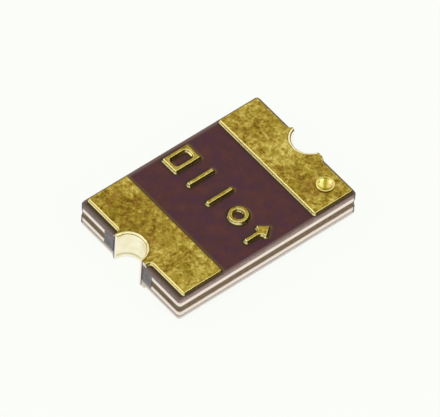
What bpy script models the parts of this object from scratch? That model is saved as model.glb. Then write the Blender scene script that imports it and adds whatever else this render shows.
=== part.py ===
"""Surface-mount resettable fuse in the 4532 metric (1812) size.

A sheet of carbon-filled polymer lies between two metal foils. A resin
laminate covers both foils, and solder pads sit on both faces at both
ends. Half of a plated hole joins the two pads of each end.

+X runs along the length, from the near end to the far end.
+Y runs along the width and +Z points up, out of the marked face.
The origin is the middle of the underside of the solder pads.
"""

import math

import bmesh
import bpy
from mathutils import Matrix, Vector

MM = 0.001

# Outline of the sawn board
BOARD_LENGTH = 4.61 * MM
BOARD_WIDTH = 3.18 * MM
BOARD_CORNER = 0.07 * MM
BROKEN_EDGE = 0.012 * MM
CORE_RECESS = 0.012 * MM

# Thickness of each layer, and the bond line left between neighbours
CORE_THICKNESS = 0.205 * MM
FOIL_THICKNESS = 0.075 * MM
INSULATION_THICKNESS = 0.1075 * MM
PAD_THICKNESS = 0.095 * MM
MASK_THICKNESS = 0.02 * MM
BOND_LINE = 0.002 * MM

# Holes drilled on the saw lines between neighbouring boards
SAW_KERF = 0.11 * MM
HOLE_SHIFT_X = 0.041 * MM
HOLE_SHIFT_Y = 0.048 * MM
HOLE_RADIUS = 0.447 * MM
PLATING_THICKNESS = 0.08 * MM
KNEE_RADIUS = 0.07 * MM
MOUTH_LIP = 0.006 * MM
PLUG_WALL = 0.313 * MM

# Etched copper pads
PAD_LENGTH = 1.05 * MM
PAD_END_MARGIN = 0.08 * MM
PAD_SIDE_MARGIN = 0.033 * MM
PAD_CORNER = 0.06 * MM
PAD_RING_RADIUS = 0.535 * MM
PAD_SHIFT_X = 0.04 * MM
MASK_CLEARANCE = 0.006 * MM

# Sloping foot that the etch leaves around every copper shape
FOOT_HEIGHT = 0.05 * MM
FOOT_WIDTH = 0.026 * MM
RISER_DRAFT = 0.006 * MM
CROWN_EDGE = 0.02 * MM

# Plated blind vias from a pad down to the foil under it
VIA_RADIUS = 0.16 * MM
VIA_FROM_PAD_END = 0.38 * MM
VIA_FROM_PAD_SIDE = 0.477 * MM
VIA_RIM_WIDTH = 0.042 * MM
VIA_RIM_HEIGHT = 0.032 * MM
VIA_DISH_RADIUS = 0.15 * MM
VIA_DISH_DEPTH = 0.06 * MM

# Row of raised index marks on the upper face
MARK_COUNT = 5
MARK_LENGTH = 0.70 * MM
MARK_GAP = 0.13 * MM
MARK_EDGE_MARGIN = 0.13 * MM
MARK_SHIFT_X = 0.01 * MM
HEAD_PER_WIDTH = 0.63
STROKE_PER_WIDTH = 0.29
CORNER_PER_STROKE = 0.36

# Fineness of round outlines
HOLE_SIDES = 64
VIA_SIDES = 32
ARC_STEPS = 4
KNEE_STEPS = 5
EDGE_STEPS = 3
DISH_STEPS = 6
BEAD_STEPS = 8
WELD_DISTANCE = 0.0001 * MM

HALF_LENGTH = BOARD_LENGTH / 2
HALF_WIDTH = BOARD_WIDTH / 2
MARK_ROW = BOARD_WIDTH - 2 * MARK_EDGE_MARGIN
MARK_WIDTH = (MARK_ROW - (MARK_COUNT - 1) * MARK_GAP) / MARK_COUNT
MARK_HEAD = HEAD_PER_WIDTH * MARK_WIDTH
MARK_STROKE = STROKE_PER_WIDTH * MARK_WIDTH
MARK_CORNER = CORNER_PER_STROKE * MARK_STROKE
NEAR = -1
FAR = 1


def empty_the_scene():
    """Remove whatever the opened file holds."""
    for item in list(bpy.data.objects):
        bpy.data.objects.remove(item, do_unlink=True)


def new_collection(name):
    """Add a collection to the scene."""
    collection = bpy.data.collections.new(name)
    bpy.context.scene.collection.children.link(collection)
    return collection


def stack_layers():
    """Return the lower and upper height of each layer, from the pads up."""
    order = [
        ("lower_pad", PAD_THICKNESS),
        ("lower_insulation", INSULATION_THICKNESS),
        ("lower_foil", FOIL_THICKNESS),
        ("core", CORE_THICKNESS),
        ("upper_foil", FOIL_THICKNESS),
        ("upper_insulation", INSULATION_THICKNESS),
        ("upper_pad", PAD_THICKNESS),
    ]
    heights = {}
    level = 0.0
    for name, thickness in order:
        heights[name] = (level, level + thickness)
        level += thickness + BOND_LINE
    under_mask = heights["upper_pad"][0]
    over_mask = heights["lower_pad"][1]
    heights["upper_mask"] = (under_mask, under_mask + MASK_THICKNESS)
    heights["lower_mask"] = (over_mask - MASK_THICKNESS, over_mask)
    return heights


empty_the_scene()
PARTS = new_collection("resettable_fuse")
CUTTERS = new_collection("cutters")
LAYERS = stack_layers()
UNDERSIDE = LAYERS["lower_pad"][0]
TOPSIDE = LAYERS["upper_pad"][1]
CLEAR_ABOVE = TOPSIDE + PAD_THICKNESS
CLEAR_BELOW = UNDERSIDE - PAD_THICKNESS


def new_material(name, colour, roughness, metallic=0.0, coat=0.0):
    """Make a Principled material of one colour."""
    material = bpy.data.materials.new(name)
    material.use_nodes = True
    shader = material.node_tree.nodes["Principled BSDF"]
    shader.inputs["Base Color"].default_value = (*colour, 1.0)
    shader.inputs["Roughness"].default_value = roughness
    shader.inputs["Metallic"].default_value = metallic
    shader.inputs["Coat Weight"].default_value = coat
    material.diffuse_color = (*colour, 1.0)
    return material


GILT_COPPER = new_material("gilt_copper", (0.42, 0.29, 0.06), 0.32, metallic=1.0)
PLATED_BARREL = new_material("plated_barrel", (0.86, 0.78, 0.52), 0.22, metallic=1.0)
NICKEL_FOIL = new_material("nickel_foil", (0.78, 0.70, 0.66), 0.30, metallic=1.0)
FILLED_POLYMER = new_material("filled_polymer", (0.12, 0.10, 0.07), 0.75)
RESIN_LAMINATE = new_material("resin_laminate", (0.13, 0.10, 0.11), 0.55)
PLUG_RESIN = new_material("plug_resin", (0.10, 0.10, 0.12), 0.35)
SOLDER_MASK = new_material("solder_mask", (0.10, 0.043, 0.048), 0.40, coat=0.3)


def add_object(name, mesh, material):
    """Put a mesh among the parts, with its material."""
    obj = bpy.data.objects.new(name, mesh)
    obj.data.materials.append(material)
    PARTS.objects.link(obj)
    return obj


def add_cutter(name, mesh):
    """Put a mesh among the cutters, where it isn't rendered."""
    obj = bpy.data.objects.new(name, mesh)
    obj.hide_render = True
    obj.display_type = "WIRE"
    CUTTERS.objects.link(obj)
    return obj


def cut(target, cutter):
    """Take the cutter's volume away from the target."""
    modifier = target.modifiers.new("cut_" + cutter.name, "BOOLEAN")
    modifier.operation = "DIFFERENCE"
    modifier.solver = "EXACT"
    modifier.object = cutter


def mesh_from(bm, name):
    """Turn a bmesh into a mesh, with round outlines shaded smooth."""
    mesh = bpy.data.meshes.new(name)
    bm.to_mesh(mesh)
    bm.free()
    mesh.shade_smooth()
    mesh.set_sharp_from_angle(angle=math.radians(30))
    return mesh


def plate_mesh(name, length, width, corner, low, high, broken_level=None):
    """Make a flat plate with rounded corners about the Z axis.

    broken_level is the height of the one face whose edges are broken.
    """
    bm = bmesh.new()
    height = high - low
    middle = Matrix.Translation((0, 0, (low + high) / 2))
    bmesh.ops.create_cube(bm, size=1, matrix=middle @ Matrix.Diagonal((length, width, height, 1)))
    upright = [edge for edge in bm.edges if abs(edge.verts[0].co.z - edge.verts[1].co.z) > height / 2]
    bmesh.ops.bevel(
        bm, geom=upright, offset=corner, offset_type="OFFSET",
        segments=ARC_STEPS, profile=0.5, affect="EDGES", material=-1)
    if broken_level is not None:
        round_rim(bm, broken_level, BROKEN_EDGE)
    return mesh_from(bm, name)


def round_rim(bm, level, radius):
    """Round the outward edges that lie at one height."""
    rim = []
    for edge in bm.edges:
        at_level = all(abs(vert.co.z - level) < WELD_DISTANCE for vert in edge.verts)
        if at_level and edge.calc_face_angle_signed(0.0) > math.radians(45):
            rim.append(edge)
    bmesh.ops.bevel(
        bm, geom=rim, offset=radius, offset_type="OFFSET",
        segments=EDGE_STEPS, profile=0.5, affect="EDGES", material=-1)


def cylinder_mesh(name, radius, low, high, sides):
    """Make a closed cylinder about the Z axis."""
    bm = bmesh.new()
    bmesh.ops.create_cone(
        bm, cap_ends=True, segments=sides, radius1=radius, radius2=radius,
        depth=high - low, matrix=Matrix.Translation((0, 0, (low + high) / 2)))
    return mesh_from(bm, name)


def profile_mesh(name, points, closed):
    """Draw a profile in the XZ plane, ready to be turned about Z."""
    bm = bmesh.new()
    verts = [bm.verts.new((radius, 0, height)) for radius, height in points]
    for first, second in zip(verts, verts[1:]):
        bm.edges.new((first, second))
    if closed:
        bm.edges.new((verts[-1], verts[0]))
    mesh = bpy.data.meshes.new(name)
    bm.to_mesh(mesh)
    bm.free()
    return mesh


def turn(obj, sides):
    """Turn a profile a full turn about the object's Z axis."""
    modifier = obj.modifiers.new("turn", "SCREW")
    modifier.axis = "Z"
    modifier.angle = math.tau
    modifier.steps = sides
    modifier.render_steps = sides
    modifier.use_merge_vertices = True
    modifier.merge_threshold = WELD_DISTANCE
    modifier.use_smooth_shade = True


def arc(centre, radius, start, stop, steps):
    """Return points along an arc, with angles in degrees."""
    points = []
    for step in range(steps + 1):
        angle = math.radians(start + (stop - start) * step / steps)
        points.append((centre[0] + radius * math.cos(angle), centre[1] + radius * math.sin(angle)))
    return points


def hole_centre(end):
    """Return where a castellation's hole was drilled."""
    pitch = BOARD_LENGTH + SAW_KERF
    return Vector((end * pitch / 2 + HOLE_SHIFT_X, HOLE_SHIFT_Y, 0))


def pad_centre(end):
    """Return the middle of a pad."""
    return Vector((end * (HALF_LENGTH - PAD_END_MARGIN - PAD_LENGTH / 2) + PAD_SHIFT_X, 0, 0))


def via_centre(end):
    """Return the middle of a via, near one corner of its pad."""
    from_middle = PAD_LENGTH / 2 - VIA_FROM_PAD_END
    side = HALF_WIDTH - PAD_SIDE_MARGIN - VIA_FROM_PAD_SIDE
    return pad_centre(end) + Vector((end * from_middle, -side, 0))


END_NAMES = {NEAR: "near", FAR: "far"}


def make_hole_cutters(name, radius):
    """Make one drill-sized cutter for each end."""
    cutters = []
    for end, end_name in END_NAMES.items():
        mesh = cylinder_mesh(end_name + name, radius, CLEAR_BELOW, CLEAR_ABOVE, HOLE_SIDES)
        cutter = add_cutter(end_name + name, mesh)
        cutter.location = hole_centre(end)
        cutters.append(cutter)
    return cutters


def make_saw_cutters():
    """Make the waste beyond each sawn end face."""
    waste_length = HOLE_RADIUS + PLUG_WALL + SAW_KERF
    waste_width = BOARD_WIDTH
    cutters = []
    for end, end_name in END_NAMES.items():
        mesh = plate_mesh(
            end_name + "_saw", 2 * waste_length, waste_width, BOARD_CORNER, CLEAR_BELOW, CLEAR_ABOVE)
        cutter = add_cutter(end_name + "_saw", mesh)
        cutter.location.x = end * (HALF_LENGTH + waste_length)
        cutters.append(cutter)
    return cutters


PLATING_HOLES = make_hole_cutters("_plated_hole", HOLE_RADIUS + BOND_LINE)
CLEARANCE_HOLES = make_hole_cutters("_clearance_hole", HOLE_RADIUS + PLUG_WALL)
SAW_WASTE = make_saw_cutters()


def make_layer(name, layer, material, holes, inset=0.0, broken_level=None):
    """Make one full-size layer of the board, drilled at both ends."""
    low, high = LAYERS[layer]
    length = BOARD_LENGTH - 2 * inset
    width = BOARD_WIDTH - 2 * inset
    obj = add_object(name, plate_mesh(name, length, width, BOARD_CORNER, low, high, broken_level), material)
    for hole in holes:
        cut(obj, hole)
    return obj


def make_core_and_foils():
    """Make the polymer sheet and the two foils bonded to it."""
    make_layer("ptc_core", "core", FILLED_POLYMER, CLEARANCE_HOLES, inset=CORE_RECESS)
    make_layer("lower_electrode_foil", "lower_foil", NICKEL_FOIL, CLEARANCE_HOLES)
    make_layer("upper_electrode_foil", "upper_foil", NICKEL_FOIL, CLEARANCE_HOLES)


def make_via_hole(name, end):
    """Make the cutter for a via's hole."""
    radius = VIA_RADIUS + BOND_LINE
    cutter = add_cutter(name, cylinder_mesh(name, radius, CLEAR_BELOW, CLEAR_ABOVE, VIA_SIDES))
    cutter.location = via_centre(end)
    return cutter


UPPER_VIA_HOLE = make_via_hole("upper_via_hole", FAR)
LOWER_VIA_HOLE = make_via_hole("lower_via_hole", NEAR)


def make_insulation(name, outer_level, via_hole):
    """Make the resin laminate over one foil, open where a via passes."""
    layer = make_layer(name, name, RESIN_LAMINATE, PLATING_HOLES, broken_level=outer_level)
    cut(layer, via_hole)


def make_isolation_plug(end):
    """Make the resin ring that keeps a plated hole off both foils."""
    name = END_NAMES[end] + "_isolation_plug"
    inner = HOLE_RADIUS + BOND_LINE
    outer = HOLE_RADIUS + PLUG_WALL - BOND_LINE
    low = LAYERS["lower_foil"][0]
    high = LAYERS["upper_foil"][1]
    outline = [(outer, high), (outer, low), (inner, low), (inner, high)]
    plug = add_object(name, profile_mesh(name, outline, closed=True), PLUG_RESIN)
    plug.location = hole_centre(end)
    turn(plug, HOLE_SIDES)
    for waste in SAW_WASTE:
        cut(plug, waste)


def make_barrel(end):
    """Make the plated wall of one half hole.

    Both mouths have a rounded knee, and plating heaps up into a low lip
    around the upper one.
    """
    name = END_NAMES[end] + "_barrel"
    bore = HOLE_RADIUS - PLATING_THICKNESS
    knee = bore + KNEE_RADIUS
    outline = [(HOLE_RADIUS, TOPSIDE), (HOLE_RADIUS, UNDERSIDE)]
    outline += arc((knee, UNDERSIDE + KNEE_RADIUS), KNEE_RADIUS, 270, 180, KNEE_STEPS)
    outline += arc((knee, TOPSIDE + MOUTH_LIP - KNEE_RADIUS), KNEE_RADIUS, 180, 90, KNEE_STEPS)
    barrel = add_object(name, profile_mesh(name, outline, closed=True), PLATED_BARREL)
    barrel.location = hole_centre(end)
    turn(barrel, HOLE_SIDES)
    for waste in SAW_WASTE:
        cut(barrel, waste)


def rectangle(length, width):
    """Return the corners of a rectangle about the origin."""
    across, along = length / 2, width / 2
    return [Vector(point) for point in ((across, along), (-across, along), (-across, -along), (across, -along))]


def circle(radius):
    """Return the points of a circle about the origin."""
    return [Vector(point) for point in arc((0, 0), radius, 0, 360, VIA_SIDES)[:-1]]


def fillet(points, radius):
    """Round every corner of an outline with one radius."""
    rounded = []
    for index, corner in enumerate(points):
        to_last = (points[index - 1] - corner).normalized()
        to_next = (points[(index + 1) % len(points)] - corner).normalized()
        half_angle = to_last.angle(to_next) / 2
        reach = radius / math.tan(half_angle)
        centre = corner + (to_last + to_next).normalized() * radius / math.sin(half_angle)
        start = corner + to_last * reach - centre
        stop = corner + to_next * reach - centre
        for step in range(ARC_STEPS + 1):
            rounded.append(centre + start.lerp(stop, step / ARC_STEPS).normalized() * radius)
    return rounded


def grow(points, distance):
    """Move an outline outwards by one distance."""
    grown = []
    for index, point in enumerate(points):
        sides = (point - points[index - 1], points[(index + 1) % len(points)] - point)
        first, second = [Vector((side.y, -side.x)).normalized() for side in sides]
        grown.append(point + (first + second) * distance / (1 + first.dot(second)))
    return grown


def outline_solid(outlines, low, high):
    """Fill a flat outline, or the band between two, and give it a thickness."""
    bm = bmesh.new()
    for points in outlines:
        corners = [bm.verts.new((point.x, point.y, low)) for point in points]
        for index, corner in enumerate(corners):
            bm.edges.new((corners[index - 1], corner))
    if len(outlines) > 1:
        bmesh.ops.bridge_loops(bm, edges=bm.edges)
    else:
        bm.faces.new(bm.verts)
    sheet = bmesh.ops.extrude_face_region(bm, geom=bm.faces[:])
    raised = [part for part in sheet["geom"] if isinstance(part, bmesh.types.BMVert)]
    bmesh.ops.translate(bm, verts=raised, vec=(0, 0, high - low))
    bmesh.ops.recalc_face_normals(bm, faces=bm.faces)
    return bm


def pad_outline(end):
    """Return a pad's outline about its middle, with a tab for its ring."""
    ring_x = (SAW_KERF + PAD_LENGTH) / 2 + PAD_END_MARGIN
    outer = PAD_LENGTH / 2
    side = HALF_WIDTH - PAD_SIDE_MARGIN
    neck = math.sqrt(PAD_RING_RADIUS ** 2 - (ring_x - outer) ** 2)
    past_saw = ring_x + PAD_CORNER
    half = [(-outer, side), (outer, side), (outer, neck), (past_saw, PAD_RING_RADIUS)]
    corners = half[::-1] + [(x, -y) for x, y in half]
    points = [Vector((end * x, y)) for x, y in corners]
    if end == NEAR:
        points.reverse()
    return fillet(points, PAD_CORNER)


def raise_crown(bm, crown, inwards, upwards):
    """Draw the crown's faces in from their border, and lift them."""
    bmesh.ops.inset_region(bm, faces=crown, thickness=inwards, use_even_offset=True, use_boundary=True)
    top = {vert for flat in crown for vert in flat.verts}
    bmesh.ops.translate(bm, verts=list(top), vec=(0, 0, upwards))


def copper_mesh(name, outlines, face):
    """Make an etched copper shape: a sloping foot, and a steep crown on it."""
    bm = outline_solid(outlines, 0.0, MASK_THICKNESS)
    bm.normal_update()
    crown = [flat for flat in bm.faces if flat.normal.z > 0.5]
    raise_crown(bm, crown, FOOT_WIDTH, FOOT_HEIGHT - MASK_THICKNESS)
    raise_crown(bm, crown, RISER_DRAFT, PAD_THICKNESS - FOOT_HEIGHT)
    bm.normal_update()
    round_rim(bm, PAD_THICKNESS, CROWN_EDGE)
    low, high = LAYERS[face + "_pad"]
    if face == "lower":
        bmesh.ops.scale(bm, verts=bm.verts, vec=(1, 1, -1))
        bmesh.ops.reverse_faces(bm, faces=bm.faces)
        bmesh.ops.translate(bm, verts=bm.verts, vec=(0, 0, high))
    else:
        bmesh.ops.translate(bm, verts=bm.verts, vec=(0, 0, low))
    return mesh_from(bm, name)


def make_pad(face, end):
    """Make one solder pad, with its ring around the half hole."""
    name = END_NAMES[end] + "_" + face + "_pad"
    pad = add_object(name, copper_mesh(name, [pad_outline(end)], face), GILT_COPPER)
    pad.location = pad_centre(end)
    for cutter in PLATING_HOLES + SAW_WASTE:
        cut(pad, cutter)
    return pad


def make_pads():
    """Make the pads of both faces and open the two that hold a via."""
    for face in ("upper", "lower"):
        for end in END_NAMES:
            pad = make_pad(face, end)
            if (face, end) == ("upper", FAR):
                cut(pad, UPPER_VIA_HOLE)
            if (face, end) == ("lower", NEAR):
                cut(pad, LOWER_VIA_HOLE)


def dish_points(level):
    """Return the dished mouth of a via, from its edge in to its axis."""
    sphere = (VIA_DISH_RADIUS ** 2 + VIA_DISH_DEPTH ** 2) / (2 * VIA_DISH_DEPTH)
    reach = math.degrees(math.asin(min(1.0, VIA_DISH_RADIUS / sphere)))
    points = arc((0, level - VIA_DISH_DEPTH + sphere), sphere, 270 + reach, 270, DISH_STEPS)
    points[-1] = (0.0, level - VIA_DISH_DEPTH)
    return points


def make_upper_via():
    """Make the via that joins the far upper pad to the upper foil."""
    low = LAYERS["upper_insulation"][0]
    seat = TOPSIDE + BOND_LINE
    rim = VIA_RADIUS + VIA_RIM_WIDTH
    bead = (rim - VIA_DISH_RADIUS) / 2
    brim = seat + VIA_RIM_HEIGHT - bead
    outline = dish_points(brim)[::-1]
    outline += arc((rim - bead, brim), bead, 180, 0, BEAD_STEPS)[1:]
    outline += [(rim, seat), (VIA_RADIUS, seat), (VIA_RADIUS, low), (0.0, low)]
    via = add_object("far_upper_via", profile_mesh("far_upper_via", outline, closed=False), GILT_COPPER)
    via.location = via_centre(FAR)
    turn(via, VIA_SIDES)


def make_lower_via():
    """Make the flush via that joins the near lower pad to the lower foil."""
    high = LAYERS["lower_insulation"][1]
    outline = [(0.0, high), (VIA_RADIUS, high), (VIA_RADIUS, UNDERSIDE)]
    outline += [(radius, 2 * UNDERSIDE - height) for radius, height in dish_points(UNDERSIDE)]
    via = add_object("near_lower_via", profile_mesh("near_lower_via", outline, closed=False), GILT_COPPER)
    via.location = via_centre(NEAR)
    turn(via, VIA_SIDES)


def frame_outlines():
    """Return a rectangular frame."""
    outer = rectangle(MARK_LENGTH, MARK_WIDTH)
    inner = rectangle(MARK_LENGTH - 2 * MARK_STROKE, MARK_WIDTH - 2 * MARK_STROKE)
    return fillet(outer, MARK_CORNER), fillet(inner, MARK_CORNER)


def bar_outlines():
    """Return a plain bar along the board's length."""
    return (fillet(rectangle(MARK_LENGTH, MARK_STROKE), MARK_CORNER),)


def ring_outlines():
    """Return a round ring."""
    return circle(MARK_WIDTH / 2), circle(MARK_WIDTH / 2 - MARK_STROKE)


def arrow_outlines():
    """Return an arrow that points at the far end."""
    tip, wing, stem = MARK_LENGTH / 2, MARK_WIDTH / 2, MARK_STROKE / 2
    neck = tip - MARK_HEAD
    upper = [(tip, 0), (neck, wing), (neck, stem), (-tip, stem)]
    lower = [(x, -y) for x, y in upper[:0:-1]]
    return (fillet([Vector(point) for point in upper + lower], MARK_CORNER),)


def make_island(name, outline, place):
    """Make the patch of mask that a closed mark surrounds."""
    low, high = LAYERS["upper_mask"]
    bm = outline_solid([grow(outline, -MASK_CLEARANCE)], low, high)
    island = add_object(name, mesh_from(bm, name), SOLDER_MASK)
    island.location = place


def make_marks():
    """Make the raised marks, and return the cutters that open the mask."""
    kinds = [
        ("frame_mark", frame_outlines()),
        ("first_bar_mark", bar_outlines()),
        ("second_bar_mark", bar_outlines()),
        ("ring_mark", ring_outlines()),
        ("arrow_mark", arrow_outlines()),
    ]
    openings = []
    for index, (name, outlines) in enumerate(kinds):
        from_edge = MARK_EDGE_MARGIN + MARK_WIDTH / 2 + index * (MARK_WIDTH + MARK_GAP)
        place = Vector((MARK_SHIFT_X, HALF_WIDTH - from_edge, 0))
        mark = add_object(name, copper_mesh(name, outlines, "upper"), GILT_COPPER)
        mark.location = place
        openings.append(make_opening(name + "_opening", outlines[0], place))
        for inner in outlines[1:]:
            make_island(name.replace("mark", "mask_island"), inner, place)
    return openings


def make_opening(name, outline, place):
    """Make the cutter that keeps the mask clear of one copper shape."""
    bm = outline_solid([grow(outline, MASK_CLEARANCE)], CLEAR_BELOW, CLEAR_ABOVE)
    cutter = add_cutter(name, mesh_from(bm, name))
    cutter.location = place
    return cutter


def make_masks(mark_openings):
    """Make the coloured mask over each face, open at pads and marks."""
    upper = make_layer("upper_solder_mask", "upper_mask", SOLDER_MASK, PLATING_HOLES, inset=BROKEN_EDGE)
    lower = make_layer("lower_solder_mask", "lower_mask", SOLDER_MASK, PLATING_HOLES, inset=BROKEN_EDGE)
    for end, end_name in END_NAMES.items():
        window = make_opening(end_name + "_pad_window", pad_outline(end), pad_centre(end))
        cut(upper, window)
        cut(lower, window)
    for opening in mark_openings:
        cut(upper, opening)


make_core_and_foils()
make_insulation("upper_insulation", LAYERS["upper_insulation"][1], UPPER_VIA_HOLE)
make_insulation("lower_insulation", LAYERS["lower_insulation"][0], LOWER_VIA_HOLE)
for board_end in END_NAMES:
    make_isolation_plug(board_end)
    make_barrel(board_end)
make_pads()
make_upper_via()
make_lower_via()
make_masks(make_marks())
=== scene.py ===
# %% [markdown]
# # A surface-mount resettable fuse
#
# The object is a chip only four and a half millimetres long. A sheet of
# carbon-filled polymer lies between two metal foils, a dark resin laminate
# covers both foils, and gilt copper pads sit on both faces at both ends.
# Half of a plated hole joins the two pads of each end.
#
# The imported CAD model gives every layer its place. This script loads it as
# a fixed frame and never moves it.

# %% The frame
import math

import bpy
from mathutils import Matrix, Vector


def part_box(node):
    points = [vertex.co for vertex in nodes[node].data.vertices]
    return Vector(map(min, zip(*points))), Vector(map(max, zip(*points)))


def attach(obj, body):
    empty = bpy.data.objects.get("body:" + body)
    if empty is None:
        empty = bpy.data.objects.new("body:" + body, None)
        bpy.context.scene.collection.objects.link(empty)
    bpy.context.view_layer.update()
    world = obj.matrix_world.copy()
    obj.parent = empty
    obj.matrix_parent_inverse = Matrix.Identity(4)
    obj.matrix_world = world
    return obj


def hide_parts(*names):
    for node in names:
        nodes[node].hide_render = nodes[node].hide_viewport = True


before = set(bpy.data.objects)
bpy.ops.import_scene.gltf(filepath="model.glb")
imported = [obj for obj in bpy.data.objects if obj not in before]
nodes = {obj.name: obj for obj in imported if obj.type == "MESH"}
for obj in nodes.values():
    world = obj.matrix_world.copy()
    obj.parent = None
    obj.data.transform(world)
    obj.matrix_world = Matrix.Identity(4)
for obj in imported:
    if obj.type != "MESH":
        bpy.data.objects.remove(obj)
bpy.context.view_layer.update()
MM = 0.001

# %% [markdown]
# ## The camera
#
# Small parts are photographed from far away with a long lens, so parallel
# edges stay nearly parallel. A camera can be turned by angles, or built from
# three directions: to its right, up, and back towards the photographer.
# The second way is used here, because a lean of the camera is then one
# more turn of the first two directions.

# %% The camera
AZIMUTH = math.radians(-42.23)
ELEVATION = math.radians(51.04)
LEAN = math.radians(4.0)
CAMERA_DISTANCE = 200 * MM
SENSOR_WIDTH = 36.0
LENS = 811.15
AIM = Vector((-0.010, -0.010, 0.528)) * MM
NUDGE_RIGHT = 0.029 * MM
NUDGE_UP = -0.104 * MM

back = Vector((
    math.sin(AZIMUTH) * math.cos(ELEVATION),
    -math.cos(AZIMUTH) * math.cos(ELEVATION),
    math.sin(ELEVATION)))
level_right = Vector((math.cos(AZIMUTH), math.sin(AZIMUTH), 0))
level_up = back.cross(level_right)
right = math.cos(LEAN) * level_right + math.sin(LEAN) * level_up
up = back.cross(right)

lens = bpy.data.cameras.new("camera")
lens.sensor_width = SENSOR_WIDTH
lens.lens = LENS
lens.clip_start = 10 * MM
lens.clip_end = 1000 * MM
camera = bpy.data.objects.new("camera", lens)
bpy.context.scene.collection.objects.link(camera)
place = AIM + CAMERA_DISTANCE * back + NUDGE_RIGHT * right + NUDGE_UP * up
turn = Matrix((right, up, back)).transposed().to_4x4()
camera.matrix_world = Matrix.Translation(place) @ turn
bpy.context.scene.camera = camera
bpy.context.scene.view_settings.view_transform = "Standard"
print("camera at", [round(v / MM, 2) for v in place], "mm")

# %% [markdown]
# ## Light
#
# Metal shows its surroundings more than its own colour, so a small gilt part
# is usually placed in a white tent. The world stands for that tent. It is
# plain white where the camera or a reflection meets it, and dimmer as a
# source of light, because the lamps add the rest.

# %% The white tent
TENT_WHITE = (0.982, 1.0, 0.958)
TENT_GLOW = 0.72

world = bpy.data.worlds.new("white_tent")
bpy.context.scene.world = world
world.use_nodes = True
tree = world.node_tree
seen = tree.nodes["Background"]
seen.inputs["Color"].default_value = (*TENT_WHITE, 1)
glow = tree.nodes.new("ShaderNodeBackground")
glow.inputs["Color"].default_value = (1, 1, 1, 1)
glow.inputs["Strength"].default_value = TENT_GLOW
rays = tree.nodes.new("ShaderNodeLightPath")


def either(tree, first, second):
    """Return the larger of two yes-or-no values."""
    node = tree.nodes.new("ShaderNodeMath")
    node.operation = "MAXIMUM"
    tree.links.new(first, node.inputs[0])
    tree.links.new(second, node.inputs[1])
    return node.outputs[0]


def seen_directly(tree, rays):
    """Return 1 for a ray that shows a thing, and 0 for one that only lights."""
    mirrored = either(tree, rays.outputs["Is Glossy Ray"], rays.outputs["Is Transmission Ray"])
    return either(tree, rays.outputs["Is Camera Ray"], mirrored)


choice = tree.nodes.new("ShaderNodeMixShader")
tree.links.new(seen_directly(tree, rays), choice.inputs["Fac"])
tree.links.new(glow.outputs[0], choice.inputs[1])
tree.links.new(seen.outputs[0], choice.inputs[2])
tree.links.new(choice.outputs[0], tree.nodes["World Output"].inputs["Surface"])
print("tent strength as light:", TENT_GLOW)

# %% [markdown]
# Two soft boxes stand outside the tent. The first one stands low at the left
# and a little behind the part. The edges of the copper that face the near end
# mirror it, and shine. The second one fills from the right. A point lamp or a
# sun would draw hard shadows. An area lamp is as soft as it is large, so it
# suits a part that was photographed in a tent.

# %% Soft boxes
BOX_SIZE = 0.12
KEY_PLACE = (-0.175, 0.117, 0.135)
KEY_WATTS = 0.07
FILL_PLACE = (0.06, -0.20, 0.14)
FILL_WATTS = 0.085


def soft_box(name, place, watts):
    """Hang a square lamp that faces the part."""
    lamp = bpy.data.lights.new(name, "AREA")
    lamp.size = BOX_SIZE
    lamp.energy = watts
    box = bpy.data.objects.new(name, lamp)
    bpy.context.scene.collection.objects.link(box)
    box.location = place
    box.rotation_euler = Vector(place).to_track_quat("Z", "Y").to_euler()
    box.visible_camera = False
    return box


key = soft_box("key_box", KEY_PLACE, KEY_WATTS)
fill = soft_box("fill_box", FILL_PLACE, FILL_WATTS)
print("lamps:", key.name, fill.name)

# %% [markdown]
# ## The floor
#
# The part lies on white paper. A real sheet of paper would turn grey away
# from the lamps, so most of its white is a glow that only the camera and
# the reflections see. The rest is plain paper, and keeps a faint shadow.
# The paper can be seen through from its back, so a camera below it still
# sees the underside of the part.

# %% The floor
import bmesh

FLOOR_HALF = 95 * MM
FLOOR_DROP = 0.002 * MM
SHADOW_SHARE = 0.08
PAPER_WHITE = (0.97, 0.98, 0.96, 1)

paper = bpy.data.materials.new("white_paper")
paper.use_nodes = True
tree = paper.node_tree
surface = tree.nodes["Principled BSDF"]
surface.inputs["Base Color"].default_value = PAPER_WHITE
surface.inputs["Roughness"].default_value = 0.9
surface.inputs["Specular IOR Level"].default_value = 0.1
white = tree.nodes.new("ShaderNodeEmission")
white.inputs["Color"].default_value = (*TENT_WHITE, 1)
rays = tree.nodes.new("ShaderNodeLightPath")
share = tree.nodes.new("ShaderNodeMath")
share.operation = "MULTIPLY"
share.inputs[1].default_value = 1 - SHADOW_SHARE
tree.links.new(seen_directly(tree, rays), share.inputs[0])
blend = tree.nodes.new("ShaderNodeMixShader")
tree.links.new(share.outputs[0], blend.inputs["Fac"])
tree.links.new(surface.outputs[0], blend.inputs[1])
tree.links.new(white.outputs[0], blend.inputs[2])
side = tree.nodes.new("ShaderNodeNewGeometry")
clear = tree.nodes.new("ShaderNodeBsdfTransparent")
one_sided = tree.nodes.new("ShaderNodeMixShader")
tree.links.new(side.outputs["Backfacing"], one_sided.inputs["Fac"])
tree.links.new(blend.outputs[0], one_sided.inputs[1])
tree.links.new(clear.outputs[0], one_sided.inputs[2])
tree.links.new(one_sided.outputs[0], tree.nodes["Material Output"].inputs["Surface"])

bm = bmesh.new()
bmesh.ops.create_grid(bm, x_segments=2, y_segments=2, size=FLOOR_HALF)
bmesh.ops.translate(bm, verts=bm.verts, vec=(0, 0, -FLOOR_DROP))
mesh = bpy.data.meshes.new("floor")
bm.to_mesh(mesh)
bm.free()
floor = bpy.data.objects.new("floor", mesh)
floor.data.materials.append(paper)
bpy.context.scene.collection.objects.link(floor)
print("floor is", 2 * FLOOR_HALF / MM, "mm wide")

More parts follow.
